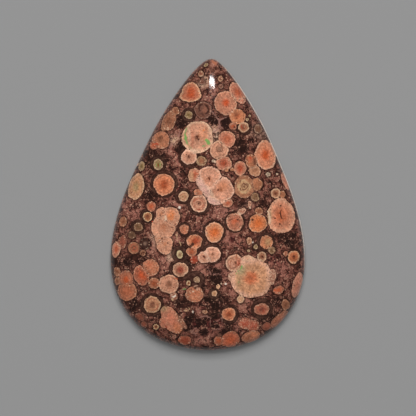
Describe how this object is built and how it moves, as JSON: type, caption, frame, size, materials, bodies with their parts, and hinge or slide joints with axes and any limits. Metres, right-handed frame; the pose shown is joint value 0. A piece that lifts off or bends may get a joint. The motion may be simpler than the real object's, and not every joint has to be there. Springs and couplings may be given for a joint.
{
  "type": "poppy jasper cabochon",
  "caption": "Pear-shaped polished stone cabochon with a low dome, a short girdle and a flat back, patterned with coral, peach and cream orbs in dark maroon.",
  "frame": {"origin": "on the flat back, in the middle of the stone's length and width", "axes": "+Y from the broad end towards the tip, +Z out of the dome, +X to the right with the tip up and the dome towards the viewer"},
  "size_m": [0.03, 0.045, 0.006],
  "materials": {
    "polished_jasper": "glossy polish over an orbicular pattern: coral, peach, pink and olive orbs with cream rims in dark maroon-brown, with mauve veins"
  },
  "bodies": {
    "root": {"cabochon": "polished_jasper"}
  },
  "joints": []
}
